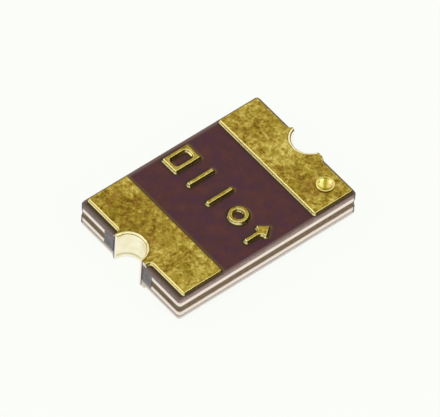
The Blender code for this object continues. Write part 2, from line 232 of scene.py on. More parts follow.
# %% [markdown]
# ## A dark card
#
# In a tent that is white all round, polished edges lose their outline. A
# photographer stands a dark card beside the part, and the edges that face it
# turn dark. The white of the tent could be darkened there instead, but a card
# is easier to move. It shows in reflections only, so it throws no shadow.

# %% A dark card
CARD_DISTANCE = 60 * MM
CARD_HEIGHT = 32 * MM
CARD_HALF_WIDTH = 60 * MM
CARD_BEARING = math.radians(-62)
CARD_BLACK = (0.03, 0.03, 0.03, 1)
QUARTER_TURN = math.radians(90)

card_black = bpy.data.materials.new("card_black")
card_black.use_nodes = True
surface = card_black.node_tree.nodes["Principled BSDF"]
surface.inputs["Base Color"].default_value = CARD_BLACK
surface.inputs["Roughness"].default_value = 0.95
surface.inputs["Specular IOR Level"].default_value = 0.0

bm = bmesh.new()
bmesh.ops.create_grid(bm, x_segments=1, y_segments=1, size=0.5)
bmesh.ops.scale(bm, verts=bm.verts, vec=(2 * CARD_HALF_WIDTH, CARD_HEIGHT, 1))
bmesh.ops.rotate(bm, verts=bm.verts, matrix=Matrix.Rotation(QUARTER_TURN, 3, "X"))
bmesh.ops.translate(bm, verts=bm.verts, vec=(0, -CARD_DISTANCE, CARD_HEIGHT / 2))
bmesh.ops.rotate(bm, verts=bm.verts, matrix=Matrix.Rotation(CARD_BEARING + QUARTER_TURN, 3, "Z"))
mesh = bpy.data.meshes.new("dark_card")
bm.to_mesh(mesh)
bm.free()
card = bpy.data.objects.new("dark_card", mesh)
card.data.materials.append(card_black)
bpy.context.scene.collection.objects.link(card)
card.visible_camera = False
card.visible_diffuse = False
card.visible_shadow = False
card.visible_transmission = False
print("card stands", CARD_DISTANCE / MM, "mm away")

# %% [markdown]
# ## A bench for finishes
#
# Every finish below is made from the same few nodes: noise for patches, a
# ramp for their colours, and a bump for their relief. They could be wired by
# hand in the shader editor, but there are dozens of them, and a small class
# keeps the wiring short. All patterns read Object coordinates in metres, so
# a patch of a tenth of a millimetre needs a scale of about ten thousand.

# %% The bench


def linear(red, green, blue):
    """Turn a colour as a paint program shows it into linear light."""
    values = []
    for value in (red, green, blue):
        value /= 255
        values.append(value / 12.92 if value <= 0.04045 else ((value + 0.055) / 1.055) ** 2.4)
    return (*values, 1.0)


class Finish:
    """A material in the making, where each method adds one node."""

    def __init__(self, name, metallic=0.0, specular=0.5):
        self.material = bpy.data.materials.new(name)
        self.material.use_nodes = True
        self.tree = self.material.node_tree
        self.shader = self.tree.nodes["Principled BSDF"]
        self.shader.inputs["Metallic"].default_value = metallic
        self.shader.inputs["Specular IOR Level"].default_value = specular
        coordinates = self.tree.nodes.new("ShaderNodeTexCoord")
        self.position = coordinates.outputs["Object"]
        self.direction = coordinates.outputs["Normal"]

    def feed(self, socket, value):
        """Link another node to a socket, or write a plain value on it."""
        if isinstance(value, bpy.types.NodeSocket):
            self.tree.links.new(value, socket)
        else:
            socket.default_value = value

    def mapped(self, scale=(1, 1, 1), shift=(0, 0, 0)):
        """Return coordinates scaled and shifted on each axis."""
        node = self.tree.nodes.new("ShaderNodeMapping")
        node.inputs["Scale"].default_value = scale
        node.inputs["Location"].default_value = shift
        self.feed(node.inputs["Vector"], self.position)
        return node.outputs["Vector"]

    def noise(self, size, detail=2.0, roughness=0.5, where=None, warp=0.0):
        """Return soft patches about as wide as size, in metres."""
        node = self.tree.nodes.new("ShaderNodeTexNoise")
        self.feed(node.inputs["Vector"], where or self.position)
        node.inputs["Scale"].default_value = 1 / size
        node.inputs["Detail"].default_value = detail
        node.inputs["Roughness"].default_value = roughness
        node.inputs["Distortion"].default_value = warp
        return node.outputs["Fac"]

    def cells(self, size):
        """Return the distance to scattered points, for specks."""
        node = self.tree.nodes.new("ShaderNodeTexVoronoi")
        self.feed(node.inputs["Vector"], self.position)
        node.inputs["Scale"].default_value = 1 / size
        return node.outputs["Distance"]

    def calculate(self, operation, *values):
        """Return the result of one step of arithmetic."""
        node = self.tree.nodes.new("ShaderNodeMath")
        node.operation = operation
        for socket, value in zip(node.inputs, values):
            self.feed(socket, value)
        return node.outputs[0]

    def part_of(self, vector, axis):
        """Return the X, Y or Z of a position or a direction."""
        node = self.tree.nodes.new("ShaderNodeSeparateXYZ")
        self.feed(node.inputs[0], vector)
        return node.outputs[axis]

    def along(self, vector, arrow):
        """Return how far a position or a direction goes along an arrow."""
        node = self.tree.nodes.new("ShaderNodeVectorMath")
        node.operation = "DOT_PRODUCT"
        self.feed(node.inputs[0], vector)
        node.inputs[1].default_value = arrow
        return node.outputs["Value"]

    def from_axis(self, x, y):
        """Return how far a point lies from an upright line, in metres."""
        node = self.tree.nodes.new("ShaderNodeVectorMath")
        node.operation = "LENGTH"
        self.feed(node.inputs[0], self.mapped(scale=(1, 1, 0), shift=(-x, -y, 0)))
        return node.outputs["Value"]

    def height(self):
        """Return how high a point of the part lies, in metres."""
        return self.part_of(self.position, "Z")

    def outwards(self):
        """Return how far a point lies from the middle, along the board."""
        return self.calculate("ABSOLUTE", self.part_of(self.position, "X"))

    def tilt(self):
        """Return 1 on a level face, and 0 on an upright one."""
        return self.calculate("ABSOLUTE", self.part_of(self.direction, "Z"))

    def end_on(self):
        """Return 1 on the faces at the two ends, and 0 on the long sides."""
        lengthwise = self.calculate("ABSOLUTE", self.part_of(self.direction, "X"))
        return self.spread(lengthwise, 0.6, 0.8)

    def painted(self, name):
        """Return a value stored on the mesh."""
        node = self.tree.nodes.new("ShaderNodeAttribute")
        node.attribute_name = name
        return node.outputs["Fac"]

    def ramp(self, factor, *stops):
        """Return colours spread over a factor: (place, red, green, blue)."""
        node = self.tree.nodes.new("ShaderNodeValToRGB")
        points = node.color_ramp.elements
        while len(points) < len(stops):
            points.new(0.5)
        for point, (place, *rgb) in zip(points, stops):
            point.position = place
            point.color = linear(*rgb)
        self.feed(node.inputs["Fac"], factor)
        return node.outputs["Color"]

    def spread(self, factor, low, high, start=0.0, stop=1.0):
        """Return a factor squeezed between two values, smooth at its ends."""
        node = self.tree.nodes.new("ShaderNodeMapRange")
        node.interpolation_type = "SMOOTHSTEP"
        self.feed(node.inputs["Value"], factor)
        node.inputs["From Min"].default_value = low
        node.inputs["From Max"].default_value = high
        node.inputs["To Min"].default_value = start
        node.inputs["To Max"].default_value = stop
        return node.outputs["Result"]

    def mix(self, factor, first, second):
        """Return the first colour with the second laid over it."""
        node = self.tree.nodes.new("ShaderNodeMix")
        node.data_type = "RGBA"
        self.feed(node.inputs["Factor"], factor)
        self.feed(node.inputs["A"], first)
        self.feed(node.inputs["B"], second)
        return node.outputs["Result"]

    def sum(self, first, second, weight=1.0):
        """Return first plus weight times second."""
        return self.calculate("MULTIPLY_ADD", second, weight, first)

    def product(self, first, second):
        """Return two factors multiplied."""
        return self.calculate("MULTIPLY", first, second)

    def relief(self, height, depth):
        """Raise the surface by depth metres where the height is 1."""
        node = self.tree.nodes.new("ShaderNodeBump")
        node.inputs["Distance"].default_value = depth
        self.feed(node.inputs["Height"], height)
        self.feed(self.shader.inputs["Normal"], node.outputs["Normal"])

    def finish(self, **sockets):
        """Write or link the shader's main sockets, and return the material."""
        for name, value in sockets.items():
            self.feed(self.shader.inputs[name.replace("_", " ")], value)
        return self.material


print("the bench is ready")

# %% [markdown]
# ## Finer copies
#
# A CAD node is made of a few large, loose triangles. That is enough for a
# flat wall, but etched copper is never quite flat or straight, and a finish
# that reads values stored on the vertices needs many of them. So the copper,
# the plating and the varnish get finer copies. Triangles are merged, planes
# cut the shape into small cells, and on the copper smooth noise shifts the
# cells a little. A subdivision modifier would be shorter, but it would round
# the crisp edges that these layers have. Blender starts this noise from the
# clock, so a fixed seed is set, and each run gives the same cells.

# %% Merge and slice
from mathutils import noise

WELD = 0.0002 * MM
TRIAL_PITCH = 0.05 * MM
NOISE_SEED = 7

noise.seed_set(NOISE_SEED)


def merged_copy(node_name):
    """Return a CAD node's triangles as one joined mesh."""
    bm = bmesh.new()
    bm.from_mesh(nodes[node_name].data)
    bmesh.ops.remove_doubles(bm, verts=bm.verts, dist=WELD)
    return bm


def slice_up(bm, axis, pitch):
    """Cut a mesh by planes across one axis, about a pitch apart."""
    places = [vert.co[axis] for vert in bm.verts]
    low, high = min(places), max(places)
    count = math.ceil((high - low) / pitch)
    across = Vector((axis == 0, axis == 1, axis == 2))
    for step in range(1, count):
        level = low + (high - low) * step / count
        bmesh.ops.bisect_plane(
            bm, geom=bm.verts[:] + bm.edges[:] + bm.faces[:], dist=WELD,
            plane_co=level * across, plane_no=across)


def ripple(bm, size, sideways, upwards, bonded):
    """Shift the vertices by smooth noise, but not past the mesh's own box.

    The face that is bonded to the board, the "low" or the "high" one,
    stays where it is.
    """
    places = [[vert.co[axis] for vert in bm.verts] for axis in range(3)]
    lows = [min(values) for values in places]
    highs = [max(values) for values in places]
    reach = (sideways, sideways, upwards)
    for vert in bm.verts:
        raised = (vert.co.z - lows[2]) / (highs[2] - lows[2])
        free = raised if bonded == "low" else 1 - raised
        drift = noise.noise_vector(vert.co / size)
        for axis in range(3):
            moved = vert.co[axis] + free * reach[axis] * drift[axis]
            vert.co[axis] = max(lows[axis], min(highs[axis], moved))


trial = merged_copy("near_upper_pad")
before = len(trial.faces)
slice_up(trial, 0, TRIAL_PITCH)
slice_up(trial, 1, TRIAL_PITCH)
print("a pad goes from", before, "to", len(trial.faces), "faces")
trial.free()

# %% [markdown]
# A finer copy takes the place of its node. It is shaded smooth except at
# real corners. Smooth shading alone would bend the light on a flat cell that
# meets a narrow rounded edge, so a Weighted Normal modifier keeps it flat.

# %% Show a finer copy
SHARP_ANGLE = math.radians(30.4)


def show(bm, node_name, finish):
    """Put a finer copy in the place of its CAD node, with a finish."""
    name = "fine_" + node_name
    mesh = bpy.data.meshes.new(name)
    bm.to_mesh(mesh)
    bm.free()
    mesh.shade_smooth()
    mesh.set_sharp_from_angle(angle=SHARP_ANGLE)
    mesh.materials.append(finish)
    piece = bpy.data.objects.new(name, mesh)
    bpy.context.scene.collection.objects.link(piece)
    weighted = piece.modifiers.new("weighted_normals", "WEIGHTED_NORMAL")
    weighted.keep_sharp = True
    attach(piece, "root")
    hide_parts(node_name)
    print(name, len(mesh.polygons), "faces")
    return piece


# %% [markdown]
# ## Gilt copper
#
# The pads are copper, plated with nickel and a very thin coat of gold. The
# copper is etched and scrubbed before it is plated, so it is not a mirror.
# It is blotched yellow, olive and brown over about a tenth of a millimetre,
# and a fine grain lies over the blotches. A photograph of a pad would give
# this at once, but only from one side and in one light. Noise of several
# sizes gives it everywhere. Some places are worn and browner, and one is
# paler. Each is given by its x, its y and its reach in millimetres, and by
# how much browner it is.

# %% Blotches
GRAIN_SIZE = 0.05 * MM
PATCH_SIZE = 0.15 * MM
CLOUD_SIZE = 0.6 * MM
RUST_SIZE = 0.22 * MM
MOSS_SIZE = 0.3 * MM
RUST = linear(150, 104, 50)
MOSS = linear(168, 154, 44)
WORN_PLACES = (
    (-1.75, 0.70, 0.85, 1.2),
    (-1.85, 0.95, 0.75, 1.0),
    (-1.62, 0.02, 0.50, 0.8),
    (-1.62, -0.80, 0.40, 0.6),
    (1.55, -0.85, 0.55, 1.0),
    (1.70, 0.90, 0.50, 0.7),
    (1.70, 0.12, 0.50, -1.2))


def worn(bench):
    """Return how worn the copper is at a point."""
    total = 0.0
    for x, y, reach, amount in WORN_PLACES:
        near = bench.spread(bench.from_axis(x * MM, y * MM), reach * MM, 0.3 * reach * MM)
        total = bench.sum(total, near, amount)
    return total


def copper_blotches(bench, patches, grain):
    """Return the blotched yellow, olive and brown of scrubbed gilt copper."""
    clouds = bench.noise(CLOUD_SIZE, detail=1.0)
    mottle = bench.sum(bench.sum(bench.product(patches, 0.5), grain, 0.4), clouds, 0.1)
    tarnish = worn(bench)
    mottle = bench.sum(mottle, tarnish, -0.04)
    shade = bench.ramp(
        mottle,
        (0.36, 112, 84, 20),
        (0.43, 144, 116, 38),
        (0.49, 168, 142, 54),
        (0.55, 190, 166, 76),
        (0.62, 216, 198, 110))
    rust = bench.spread(bench.noise(RUST_SIZE, detail=4.0, roughness=0.65), 0.5, 0.68)
    shade = bench.mix(bench.product(rust, bench.sum(0.2, tarnish, 0.35)), shade, RUST)
    moss = bench.spread(bench.noise(MOSS_SIZE, where=bench.mapped(shift=(MM, 0, 0))), 0.5, 0.65, 0.0, 0.22)
    return bench.mix(moss, shade, MOSS)


print("blotches of", PATCH_SIZE / MM, "mm, grain of", GRAIN_SIZE / MM, "mm")

# %% [markdown]
# Every ridge gets a pale painted highlight, and where it faces the far end
# and the back, a darker painted shade. The walls that face the near end and
# the walls round the half holes get a painted highlight too. The other walls
# and the very foot of all get a brown painted shade. A finish could read this
# from a painted map, but the direction in which a face points and its height
# tell it too, and stay right when a pad changes its size. The drill's two
# middles lie just outside the board. The steepest of the walls that face the
# near end are so rough that they scatter light, so there the finish is less
# metallic.

# %% Gilt copper
FOOT_LINE = 0.701 * MM
SAWN_LINE = 2.304 * MM
SAWN_BLUR = 0.0008 * MM
HOLE_MIDDLES = ((-2.319 * MM, 0.048 * MM), (2.401 * MM, 0.048 * MM))
RING_STARTS = 0.6 * MM
RING_ENDS = 0.72 * MM
# Colours of the painted highlights and the painted shade on the copper's edges.
WALL_HIGHLIGHT = linear(240, 225, 158)
LOWEST_SHADE = linear(76, 58, 20)
RIDGE_HIGHLIGHT = linear(216, 200, 124)
SHADED_RIDGE = linear(122, 104, 62)
SAWN_COPPER = linear(226, 212, 205)


def sawn(bench):
    """Return 1 on the faces that the saw cut at both ends."""
    return bench.spread(bench.outwards(), SAWN_LINE, SAWN_LINE + SAWN_BLUR)


def facing(bench, x, y, low, high):
    """Return 1 where a face looks in a level direction, and 0 elsewhere."""
    return bench.spread(bench.along(bench.direction, (x, y, 0)), low, high)


def copper_walls(bench, lit_and_rubbed, riser, foot):
    """Return painted shade on the riser and foot of an edge, and painted highlight on lit walls."""
    # Painted shade on the riser and the foot, and a painted highlight on the walls that face the near end.
    wall_shade = bench.mix(bench.spread(bench.tilt(), 0.3, 0.6), riser, foot)
    wall_shade = bench.mix(lit_and_rubbed, wall_shade, WALL_HIGHLIGHT)
    # A band of painted shade at the very foot of every wall.
    lowest = bench.product(
        bench.spread(bench.height(), FOOT_LINE + 0.007 * MM, FOOT_LINE),
        bench.spread(bench.height(), FOOT_LINE - 0.03 * MM, FOOT_LINE - 0.02 * MM))
    return bench.mix(lowest, wall_shade, LOWEST_SHADE)


def make_gilt_copper(name, riser, foot):
    """Make the blotched gold of the pads and marks, with painted highlight and shade on its edges."""
    bench = Finish(name, metallic=1.0)
    patches = bench.noise(PATCH_SIZE, detail=3.0, roughness=0.6, warp=0.5)
    grain = bench.noise(GRAIN_SIZE, detail=2.0, roughness=0.7)
    shade = copper_blotches(bench, patches, grain)
    nearwards = facing(bench, -1, 0, 0.15, 0.55)
    # The walls that face the near end and the walls round the holes get a painted highlight and less
    # roughness.
    lit_and_rubbed = nearwards
    for middle in HOLE_MIDDLES:
        ring = bench.spread(bench.from_axis(*middle), RING_ENDS, RING_STARTS, 0.0, 0.5)
        lit_and_rubbed = bench.calculate("MAXIMUM", lit_and_rubbed, ring)
    tilt = bench.tilt()
    shade = bench.mix(bench.spread(tilt, 0.80, 0.62), shade, copper_walls(bench, lit_and_rubbed, riser, foot))
    # Every ridge gets a painted highlight, and a painted shade where it faces the far end and the back.
    ridge_shade = bench.mix(facing(bench, 0.7, 0.7, 0.1, 0.3), RIDGE_HIGHLIGHT, SHADED_RIDGE)
    ridge = bench.product(bench.spread(tilt, 0.985, 0.90), bench.spread(tilt, 0.62, 0.74))
    shade = bench.mix(ridge, shade, ridge_shade)
    shade = bench.mix(sawn(bench), shade, SAWN_COPPER)
    bench.relief(bench.sum(grain, patches, 0.8), 0.004 * MM)
    satin = bench.spread(grain, 0.3, 0.7, 0.30, 0.44)
    steep = bench.product(nearwards, bench.spread(tilt, 0.5, 0.3))
    return bench.finish(
        Base_Color=shade,
        Metallic=bench.sum(1.0, steep, -0.7),
        Roughness=bench.sum(satin, lit_and_rubbed, -0.18))


PAD_GILT = make_gilt_copper("gilt_copper", riser=linear(76, 60, 18), foot=linear(128, 107, 68))
print("finish:", PAD_GILT.name)

# %% [markdown]
# ## The solder pads
#
# Each pad is etched from foil, so its edge has a sloping foot and a steep
# crown, which the CAD node already has. What it lacks is the slight
# unevenness of real etched metal. A bump could fake it, but a bump leaves
# the outline straight. So noise moves the cells themselves: fully on the
# outer face, and not at all where the pad is bonded to the board.

# %% The solder pads
COPPER_PITCH = 0.04 * MM
COPPER_DRIFT = 0.002 * MM
COPPER_WAVE = 0.0012 * MM
RIPPLE_SIZE = 0.13 * MM
FLAT_ANGLE = math.radians(0.5)


def etched_copy(node_name):
    """Return an uneven copy of a copper shape, held still at its bonded face."""
    bm = merged_copy(node_name)
    bmesh.ops.dissolve_limit(bm, angle_limit=FLAT_ANGLE, verts=bm.verts, edges=bm.edges)
    slice_up(bm, 0, COPPER_PITCH)
    slice_up(bm, 1, COPPER_PITCH)
    bonded = "high" if "lower" in node_name else "low"
    ripple(bm, RIPPLE_SIZE, COPPER_DRIFT, COPPER_WAVE, bonded)
    return bm


for pad_name in ("near_upper_pad", "far_upper_pad", "near_lower_pad", "far_lower_pad"):
    show(etched_copy(pad_name), pad_name, PAD_GILT)

# %% [markdown]
# ## The raised marks
#
# The marks are the same foil, left standing by the same etch. They could be
# drawn here as curves, but the CAD nodes have their outlines already, so
# the same kind of copy serves. They are so narrow that their edges take up
# most of them, and the painted shade on these edges is a little paler.

# %% The raised marks
# The marks get their own colours of painted shade on riser and foot.
MARK_GILT = make_gilt_copper("mark_gilt", riser=linear(122, 102, 42), foot=linear(112, 90, 50))

for mark_name in ("frame_mark", "first_bar_mark", "second_bar_mark", "ring_mark", "arrow_mark"):
    show(etched_copy(mark_name), mark_name, MARK_GILT)

# %% [markdown]
# ## The vias
#
# A via is a small plated hole, and its plating heaps up into a bead round a
# dished middle. It is smoother and brighter than the pad around it. The two
# sides of the dish that face along one slant get a painted highlight, the
# stripe between them a duller painted shade, and the bead a pale painted
# highlight. The shape is turned finely enough in the CAD model, so only the
# finish is made here.

# %% The vias
HIGHLIGHT_AXIS = (0.74, -0.67)
RIGHT_HIGHLIGHT = linear(238, 208, 130)
STRIPE_SHADE = linear(176, 160, 44)
BEAD_HIGHLIGHT = linear(252, 232, 146)
VIA_SEAM = linear(96, 70, 8)
SEAM_WIDTH = 0.014 * MM


def make_via_gilt(name, middle, seam):
    """Make the smooth bright gold of plated metal, with painted highlights and a painted shade, dark at its
    outer seam.
    """
    bench = Finish(name, metallic=1.0)
    cloud = bench.noise(0.07 * MM, detail=2.0)
    shade = bench.ramp(cloud, (0.35, 250, 238, 132), (0.65, 255, 250, 176))
    # Painted highlights on the two sides of the dish that face along one slant.
    left = facing(bench, *HIGHLIGHT_AXIS, 0.08, 0.30)
    right = facing(bench, *HIGHLIGHT_AXIS, -0.08, -0.30)
    shade = bench.mix(right, shade, RIGHT_HIGHLIGHT)
    # The stripe between them gets a painted shade.
    shade = bench.mix(bench.sum(left, right), STRIPE_SHADE, shade)
    radial = bench.from_axis(middle.x, middle.y)
    # A ring of painted highlight on the bead.
    shade = bench.mix(bench.spread(radial, 0.86 * seam, 0.90 * seam, 0.0, 0.7), shade, BEAD_HIGHLIGHT)
    shade = bench.mix(bench.spread(radial, seam - SEAM_WIDTH, seam), shade, VIA_SEAM)
    bench.relief(cloud, 0.002 * MM)
    return bench.finish(Base_Color=shade, Roughness=bench.spread(cloud, 0.3, 0.7, 0.16, 0.26))


for via_name in ("far_upper_via", "near_lower_via"):
    low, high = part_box(via_name)
    middle, seam = (low + high) / 2, (high.x - low.x) / 2
    nodes[via_name].data.materials[0] = make_via_gilt(via_name + "_gilt", middle, seam)
    print("dressed", via_name, "with a seam at", round(seam / MM, 3), "mm")

# %% [markdown]
# ## The plated half holes
#
# The wall of a half hole was plated in a bath, which leaves a pale, satiny
# gold, and the far one gets a paler painted highlight. The mouth has a dark
# inner edge of painted shade, then a lip with a painted highlight, and then a
# seam against the scrubbed pad. Low in the bore lies a dull band of painted
# shade, and the saw has left two bare strips, with a band of painted shadow
# along the outer side of each. A finish can find the band and the strips by
# their place. The mouth needs a distance from the hole's own middle. The
# finish could work it out, as that of the pads does, but the two holes are
# not quite alike. So it is stored on the copy, vertex by vertex: 0 on the
# bore, 1 on the seam. It is measured from a circle that is as wide as the
# plated wall and touches its inner side. The saw took the widest part of the
# far hole, so its circle is a hundredth of a millimetre small, which doesn't
# show.

# %% The plated half holes
BORE_RADIUS = 0.367 * MM
BARREL_PITCH = 0.05 * MM
PLATING_HIGHLIGHT = linear(255, 253, 246)
BORE_SHADE = linear(190, 186, 136)
SAWN_PLATING = linear(252, 240, 232)
SAWN_STRIP_SHADOW = linear(70, 58, 64)


def plated_circle(end_name):
    """Return the middle and the radius of a circle that fits a plated wall."""
    low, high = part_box(end_name + "_barrel")
    radius = (high.y - low.y) / 2
    middle_x = high.x - radius if end_name == "near" else low.x + radius
    return Vector((middle_x, (low.y + high.y) / 2)), radius


def paint(bm, name, rule):
    """Store a value on each vertex, worked out by a rule."""
    layer = bm.verts.layers.float.new(name)
    for vert in bm.verts:
        vert[layer] = rule(vert)


def barrel_mouth(bench, shade, edge, lip_starts, lip_ends):
    """Return the bore's colour with the painted shade, painted highlight and seam bands of its mouth laid
    over it.
    """
    mouth = bench.painted("mouth")
    mottle = bench.noise(0.08 * MM, detail=3.0, roughness=0.6)
    lip_highlight = bench.ramp(mottle, (0.4, 232, 208, 140), (0.6, 255, 244, 196))
    seam = bench.ramp(mottle, (0.35, 112, 88, 30), (0.5, 140, 116, 46), (0.65, 172, 150, 72))
    # A dark inner edge of painted shade, then a lip of painted highlight.
    shade = bench.mix(bench.spread(mouth, 0.06, 0.12), shade, edge)
    shade = bench.mix(bench.spread(mouth, lip_starts, lip_starts + 0.08), shade, lip_highlight)
    shade = bench.mix(bench.spread(mouth, lip_ends, lip_ends + 0.14), shade, seam)
    # The sawn strip, with a band of painted shadow along its outer side.
    strip = bench.mix(bench.spread(mouth, 0.6, 0.8), SAWN_PLATING, SAWN_STRIP_SHADOW)
    return bench.mix(sawn(bench), shade, strip)


def make_barrel_plating(name, highlight_share, edge, lip_starts, lip_ends):
    """Make the pale satin gold of a half hole, with its painted highlight and shade."""
    bench = Finish(name, metallic=1.0)
    cloud = bench.noise(0.2 * MM, detail=1.0)
    shade = bench.ramp(cloud, (0.35, 246, 236, 200), (0.65, 255, 247, 222))
    # A paler painted highlight, given to the far bore only.
    shade = bench.mix(highlight_share, shade, PLATING_HIGHLIGHT)
    # A band of painted shade low in the bore.
    line = bench.product(
        bench.spread(bench.height(), 0.10 * MM, 0.13 * MM),
        bench.spread(bench.height(), 0.19 * MM, 0.16 * MM, 0.0, 0.7))
    shade = bench.mix(line, shade, BORE_SHADE)
    shade = barrel_mouth(bench, shade, edge, lip_starts, lip_ends)
    bench.relief(bench.noise(0.04 * MM, detail=1.0), 0.0003 * MM)
    return bench.finish(Base_Color=shade, Roughness=bench.spread(cloud, 0.3, 0.7, 0.2, 0.34))


PLATINGS = {
    "near": make_barrel_plating("near_plating", 0.0, linear(160, 142, 90), 0.20, 0.60),
    "far": make_barrel_plating("far_plating", 0.7, linear(100, 82, 48), 0.32, 0.80),
}

for end_name, plating in PLATINGS.items():
    middle, radius = plated_circle(end_name)
    bm = merged_copy(end_name + "_barrel")
    for axis in range(3):
        slice_up(bm, axis, BARREL_PITCH)
    paint(bm, "mouth", lambda vert: (
        (vert.co.xy - middle).length - BORE_RADIUS) / (radius - BORE_RADIUS))
    show(bm, end_name + "_barrel", plating)
    print("circle in mm:", [round(v / MM, 3) for v in middle], "radius:", round(radius / MM, 3))

# %% [markdown]
# ## The solder mask
#
# The mask is a thin purplish brown varnish. It turns to a greyer tone along
# the edges of the board, most of all on the left. Against the copper it gets
# a dark line of painted shade. Where the copper stands on the side of the
# near end, a brown painted reflection of the copper takes the place of that
# line. At both ends the brush has scrubbed the varnish to a greyish olive.
# An Ambient Occlusion node could find the copper, but it works with random
# rays, which is slow and grainy. Here the distance to the nearest copper is
# measured and stored on a fine copy, and the finish colours the varnish by
# it. A few pale specks of dust lie in it.

# %% The varnish
VIOLET = linear(71, 27, 46)
SCRUBBED = linear(76, 63, 40)
SCRUB_STARTS = 2.165 * MM
SCRUB_ENDS = 2.195 * MM
# Colours of the painted shade and the painted reflection beside the copper.
COPPER_SHADE = linear(50, 34, 6)
COPPER_REFLECTION = linear(110, 82, 22)
EDGE_GREY = linear(136, 117, 104)
DUST = linear(128, 120, 128)


def make_mask():
    """Make the purplish brown varnish, with painted shade and a painted reflection beside the copper."""
    bench = Finish("solder_mask", specular=0.3)
    cloud = bench.noise(0.35 * MM, detail=3.0)
    shade = bench.ramp(cloud, (0.3, 70, 28, 30), (0.7, 88, 40, 37))
    violet = bench.spread(bench.noise(0.35 * MM, where=bench.mapped(shift=(0, MM, 0))), 0.42, 0.60, 0.0, 0.8)
    shade = bench.mix(violet, shade, VIOLET)
    scrubbed = bench.product(bench.spread(bench.outwards(), SCRUB_STARTS, SCRUB_ENDS), 0.75)
    shade = bench.mix(scrubbed, shade, SCRUBBED)
    # A dark line of painted shade against the copper.
    shade = bench.mix(bench.spread(bench.painted("shade_beside_copper"), 0.0, 1.0, 0.0, 0.95), shade, COPPER_SHADE)
    # A brown painted reflection of the copper where it stands on the side of the near end.
    shade = bench.mix(bench.spread(bench.painted("reflection_beside_copper"), 0.0, 0.8, 0.0, 0.9), shade, COPPER_REFLECTION)
    shade = bench.mix(bench.spread(bench.painted("edge"), 0.0, 1.0, 0.0, 0.75), shade, EDGE_GREY)
    shade = bench.mix(bench.spread(bench.cells(0.16 * MM), 0.09, 0.04, 0.0, 0.35), shade, DUST)
    bench.relief(bench.noise(0.05 * MM, detail=1.0), 0.001 * MM)
    return bench.finish(Base_Color=shade, Roughness=bench.spread(cloud, 0.3, 0.7, 0.38, 0.5))


MASK = make_mask()
print("finish:", MASK.name)

# %% [markdown]
# Three values are stored on each vertex of the varnish. A search tree over
# all the copper finds the nearest point of it quickly.

# %% The solder mask
from mathutils.bvhtree import BVHTree

MASK_PITCH = 0.03 * MM
COPPER_LIGHT_REACH = 0.085 * MM
EDGE_REACH = 0.06 * MM
BACK_SHARE = 0.55
END_AMOUNT = 0.7
END_FALL = 0.5
HALF_LENGTH, HALF_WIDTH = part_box("upper_solder_mask")[1].xy

copper = bmesh.new()
for node_name in nodes:
    if "pad" in node_name or node_name.endswith("mark"):
        copper.from_mesh(nodes[node_name].data)
nearest_copper = BVHTree.FromBMesh(copper)
copper.free()


def greyed_near_edge(vert):
    """Return how much greyer the varnish turns where it nears an edge of the board."""
    from_end = HALF_LENGTH - abs(vert.co.x)
    from_side = min(HALF_WIDTH + vert.co.y, BACK_SHARE * (HALF_WIDTH - vert.co.y))
    return max(0.0, END_AMOUNT - END_FALL * from_end / EDGE_REACH, 1 - from_side / EDGE_REACH)


def beside_copper(vert):
    """Return how near copper is, and how far it lies towards the near end."""
    place, _, _, distance = nearest_copper.find_nearest(vert.co)
    nearwards = max(0.0, (vert.co.x - place.x) / max(distance, WELD))
    return max(0.0, 1 - distance / COPPER_LIGHT_REACH), min(1.0, nearwards)


def shaded_by_copper(vert):
    """Return how much painted shade the varnish gets beside copper."""
    closeness, nearwards = beside_copper(vert)
    return closeness * (1 - nearwards)


def reflecting_copper(vert):
    """Return how much painted reflection of the copper the varnish gets beside it."""
    closeness, nearwards = beside_copper(vert)
    return closeness * nearwards


for mask_name in ("upper_solder_mask", "lower_solder_mask", "frame_mask_island", "ring_mask_island"):
    bm = merged_copy(mask_name)
    bmesh.ops.dissolve_limit(bm, angle_limit=FLAT_ANGLE, verts=bm.verts, edges=bm.edges)
    slice_up(bm, 0, MASK_PITCH)
    slice_up(bm, 1, MASK_PITCH)
    # The painted shade and the painted reflection beside the copper are stored here.
    paint(bm, "shade_beside_copper", shaded_by_copper)
    paint(bm, "reflection_beside_copper", reflecting_copper)
    paint(bm, "edge", greyed_near_edge)
    show(bm, mask_name, MASK)

# %% [markdown]
# ## The laminate
#
# The laminate over each foil is glass cloth in dark resin. Its sawn edge
# shows the cloth as a faint grain along the board, drawn out sideways by the
# saw. The end faces are darker than the long ones, because there the blade
# scorched the resin. The lower laminate is painted paler towards the bottom,
# a painted glow of the light from the white paper. Close to a foil, the saw
# has smeared soft metal over the resin. Two opposite corners of the board get
# a painted shade, through all its layers. All of this lies on flat sawn
# faces, so the CAD nodes stay, and the finish alone makes the difference.

# %% The laminate
SMEARED = linear(255, 240, 226)
# Colour of the painted shade at two opposite corners.
CORNER_SHADE = linear(74, 62, 58)
PAPER_LIT = linear(244, 236, 224)
SMEAR_HEIGHT = 0.035 * MM
CORNERWARDS = Vector((0.74, -0.67, 0))
CORNER = max(vert.co.dot(CORNERWARDS) for vert in nodes["ptc_core"].data.vertices)


def shaded_corners(bench):
    """Return 1 at two opposite corners, on the far right and the near left, for a painted shade."""
    distance = bench.calculate("ABSOLUTE", bench.along(bench.position, CORNERWARDS))
    return bench.spread(distance, CORNER - 0.020 * MM, CORNER - 0.008 * MM, 0.0, 0.85)


def smear_over_foil(bench):
    """Return 1 just above the upper foil, but not on the plugs."""
    foil_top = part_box("upper_insulation")[0].z
    smear = bench.spread(bench.height(), foil_top + SMEAR_HEIGHT, foil_top, 0.0, 0.9)
    above = bench.spread(bench.height(), foil_top - 0.1 * MM, foil_top - 0.05 * MM)
    smear = bench.product(smear, above)
    for middle in HOLE_MIDDLES:
        off_plug = bench.spread(bench.from_axis(*middle), 0.72 * MM, 0.78 * MM)
        smear = bench.product(smear, off_plug)
    return smear


